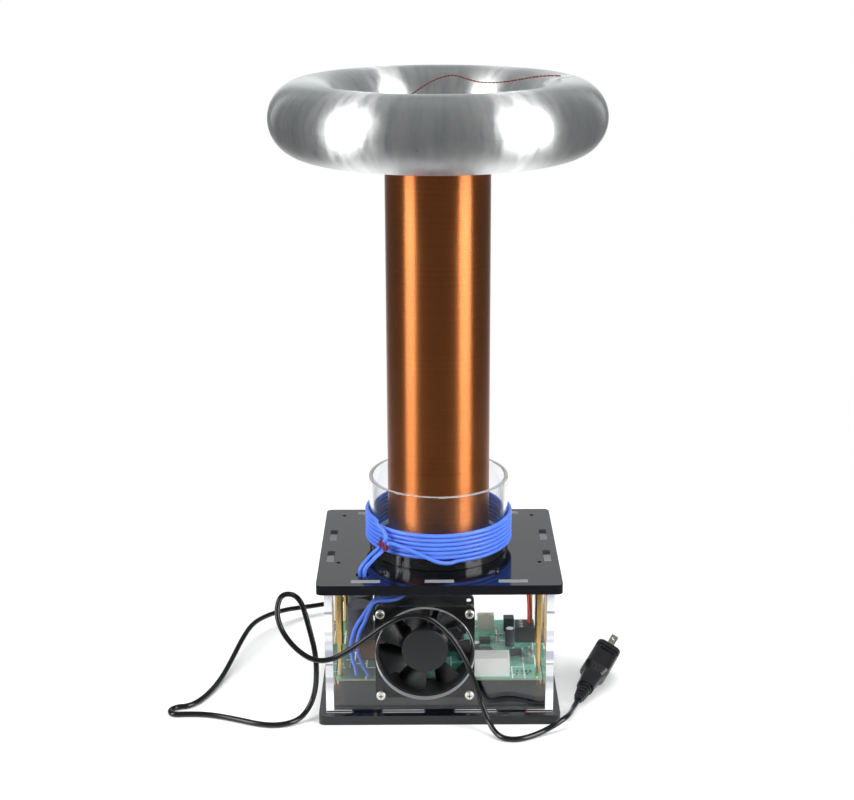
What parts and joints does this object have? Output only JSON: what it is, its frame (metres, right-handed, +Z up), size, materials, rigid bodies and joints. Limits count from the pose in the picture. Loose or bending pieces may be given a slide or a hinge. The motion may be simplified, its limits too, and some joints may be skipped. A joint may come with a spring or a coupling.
{
  "type": "desktop resonant transformer",
  "caption": "Desktop resonant transformer: a spun toroid on a copper-wound coil, a blue primary coil on a clear tube, and a tabbed acrylic box with driver board and fan",
  "frame": {"origin": "middle of the bottom plate's underside, under the coil's axis", "axes": "+Z up along the coil's axis; the fan's panel faces -Y; +X to the right seen from the front"},
  "size_m": [0.3796, 0.2736, 0.5094],
  "materials": {
    "black_acrylic": "gloss",
    "clear_acrylic": "clear",
    "brass": "machined",
    "zinc_steel": "plated",
    "green_board": "satin",
    "black_plastic": "satin",
    "component_black": "satin",
    "dark_aluminium": "anodised",
    "capacitor_sleeve": "gloss",
    "film_white": "satin",
    "beige_plastic": "satin",
    "choke_brown": "satin",
    "ferrite": "satin",
    "fuse_glass": "clear",
    "copper": "enamelled",
    "former_plastic": "satin",
    "blue_silicone": "satin",
    "tie_red": "satin",
    "spun_aluminium": "polished",
    "red_wire": "satin",
    "brown_wire": "satin",
    "black_cord": "satin"
  },
  "bodies": {
    "base": {"bottom_plate": "black_acrylic", "top_plate": "black_acrylic", "front_panel": "clear_acrylic", "rear_panel": "clear_acrylic", "left_panel": "clear_acrylic", "right_panel": "clear_acrylic", "base_screws": "zinc_steel", "board_spacers": "brass", "board_studs": "brass", "corner_posts": "brass", "circuit_board": "green_board", "heatsink": "dark_aluminium", "power_transistors": "component_black", "bridge_rectifier": "component_black", "bulk_capacitors": "capacitor_sleeve", "small_capacitors": "capacitor_sleeve", "film_capacitor": "film_white", "filter_capacitor": "beige_plastic", "terminal_block": "black_plastic", "pulse_module": "component_black", "choke": "choke_brown", "gate_transformer": "ferrite", "control_chips": "component_black", "fuse": "fuse_glass", "fuse_clips": "zinc_steel", "fan_housing": "black_plastic", "fan_stator": "ferrite", "fan_screws": "zinc_steel", "fan_nuts": "zinc_steel", "coil_base": "black_plastic", "coil_screws": "zinc_steel", "coil_nuts": "zinc_steel", "backing_plate": "black_acrylic", "primary_tube": "clear_acrylic", "primary_winding": "blue_silicone", "lead_tie": "tie_red", "secondary_former": "former_plastic", "secondary_winding": "copper", "top_cap": "black_plastic", "toroid_disc": "spun_aluminium", "toroid": "spun_aluminium", "toroid_bolt": "zinc_steel", "toroid_nut": "zinc_steel", "discharge_wire": "red_wire", "supply_wire_red": "red_wire", "supply_wire_brown": "brown_wire", "cord_gland": "black_plastic", "gland_nut": "black_plastic", "mains_cord": "black_cord", "mains_plug": "black_cord", "plug_blades": "brass"},
    "fan": {"fan_rotor": "black_plastic"}
  },
  "joints": [
    {"name": "fan_spin", "type": "hinge", "parent": "base", "child": "fan", "pos_m": [-0.0117, -0.06, 0.0594], "axis": [0, 1, 0], "continuous": true}
  ]
}
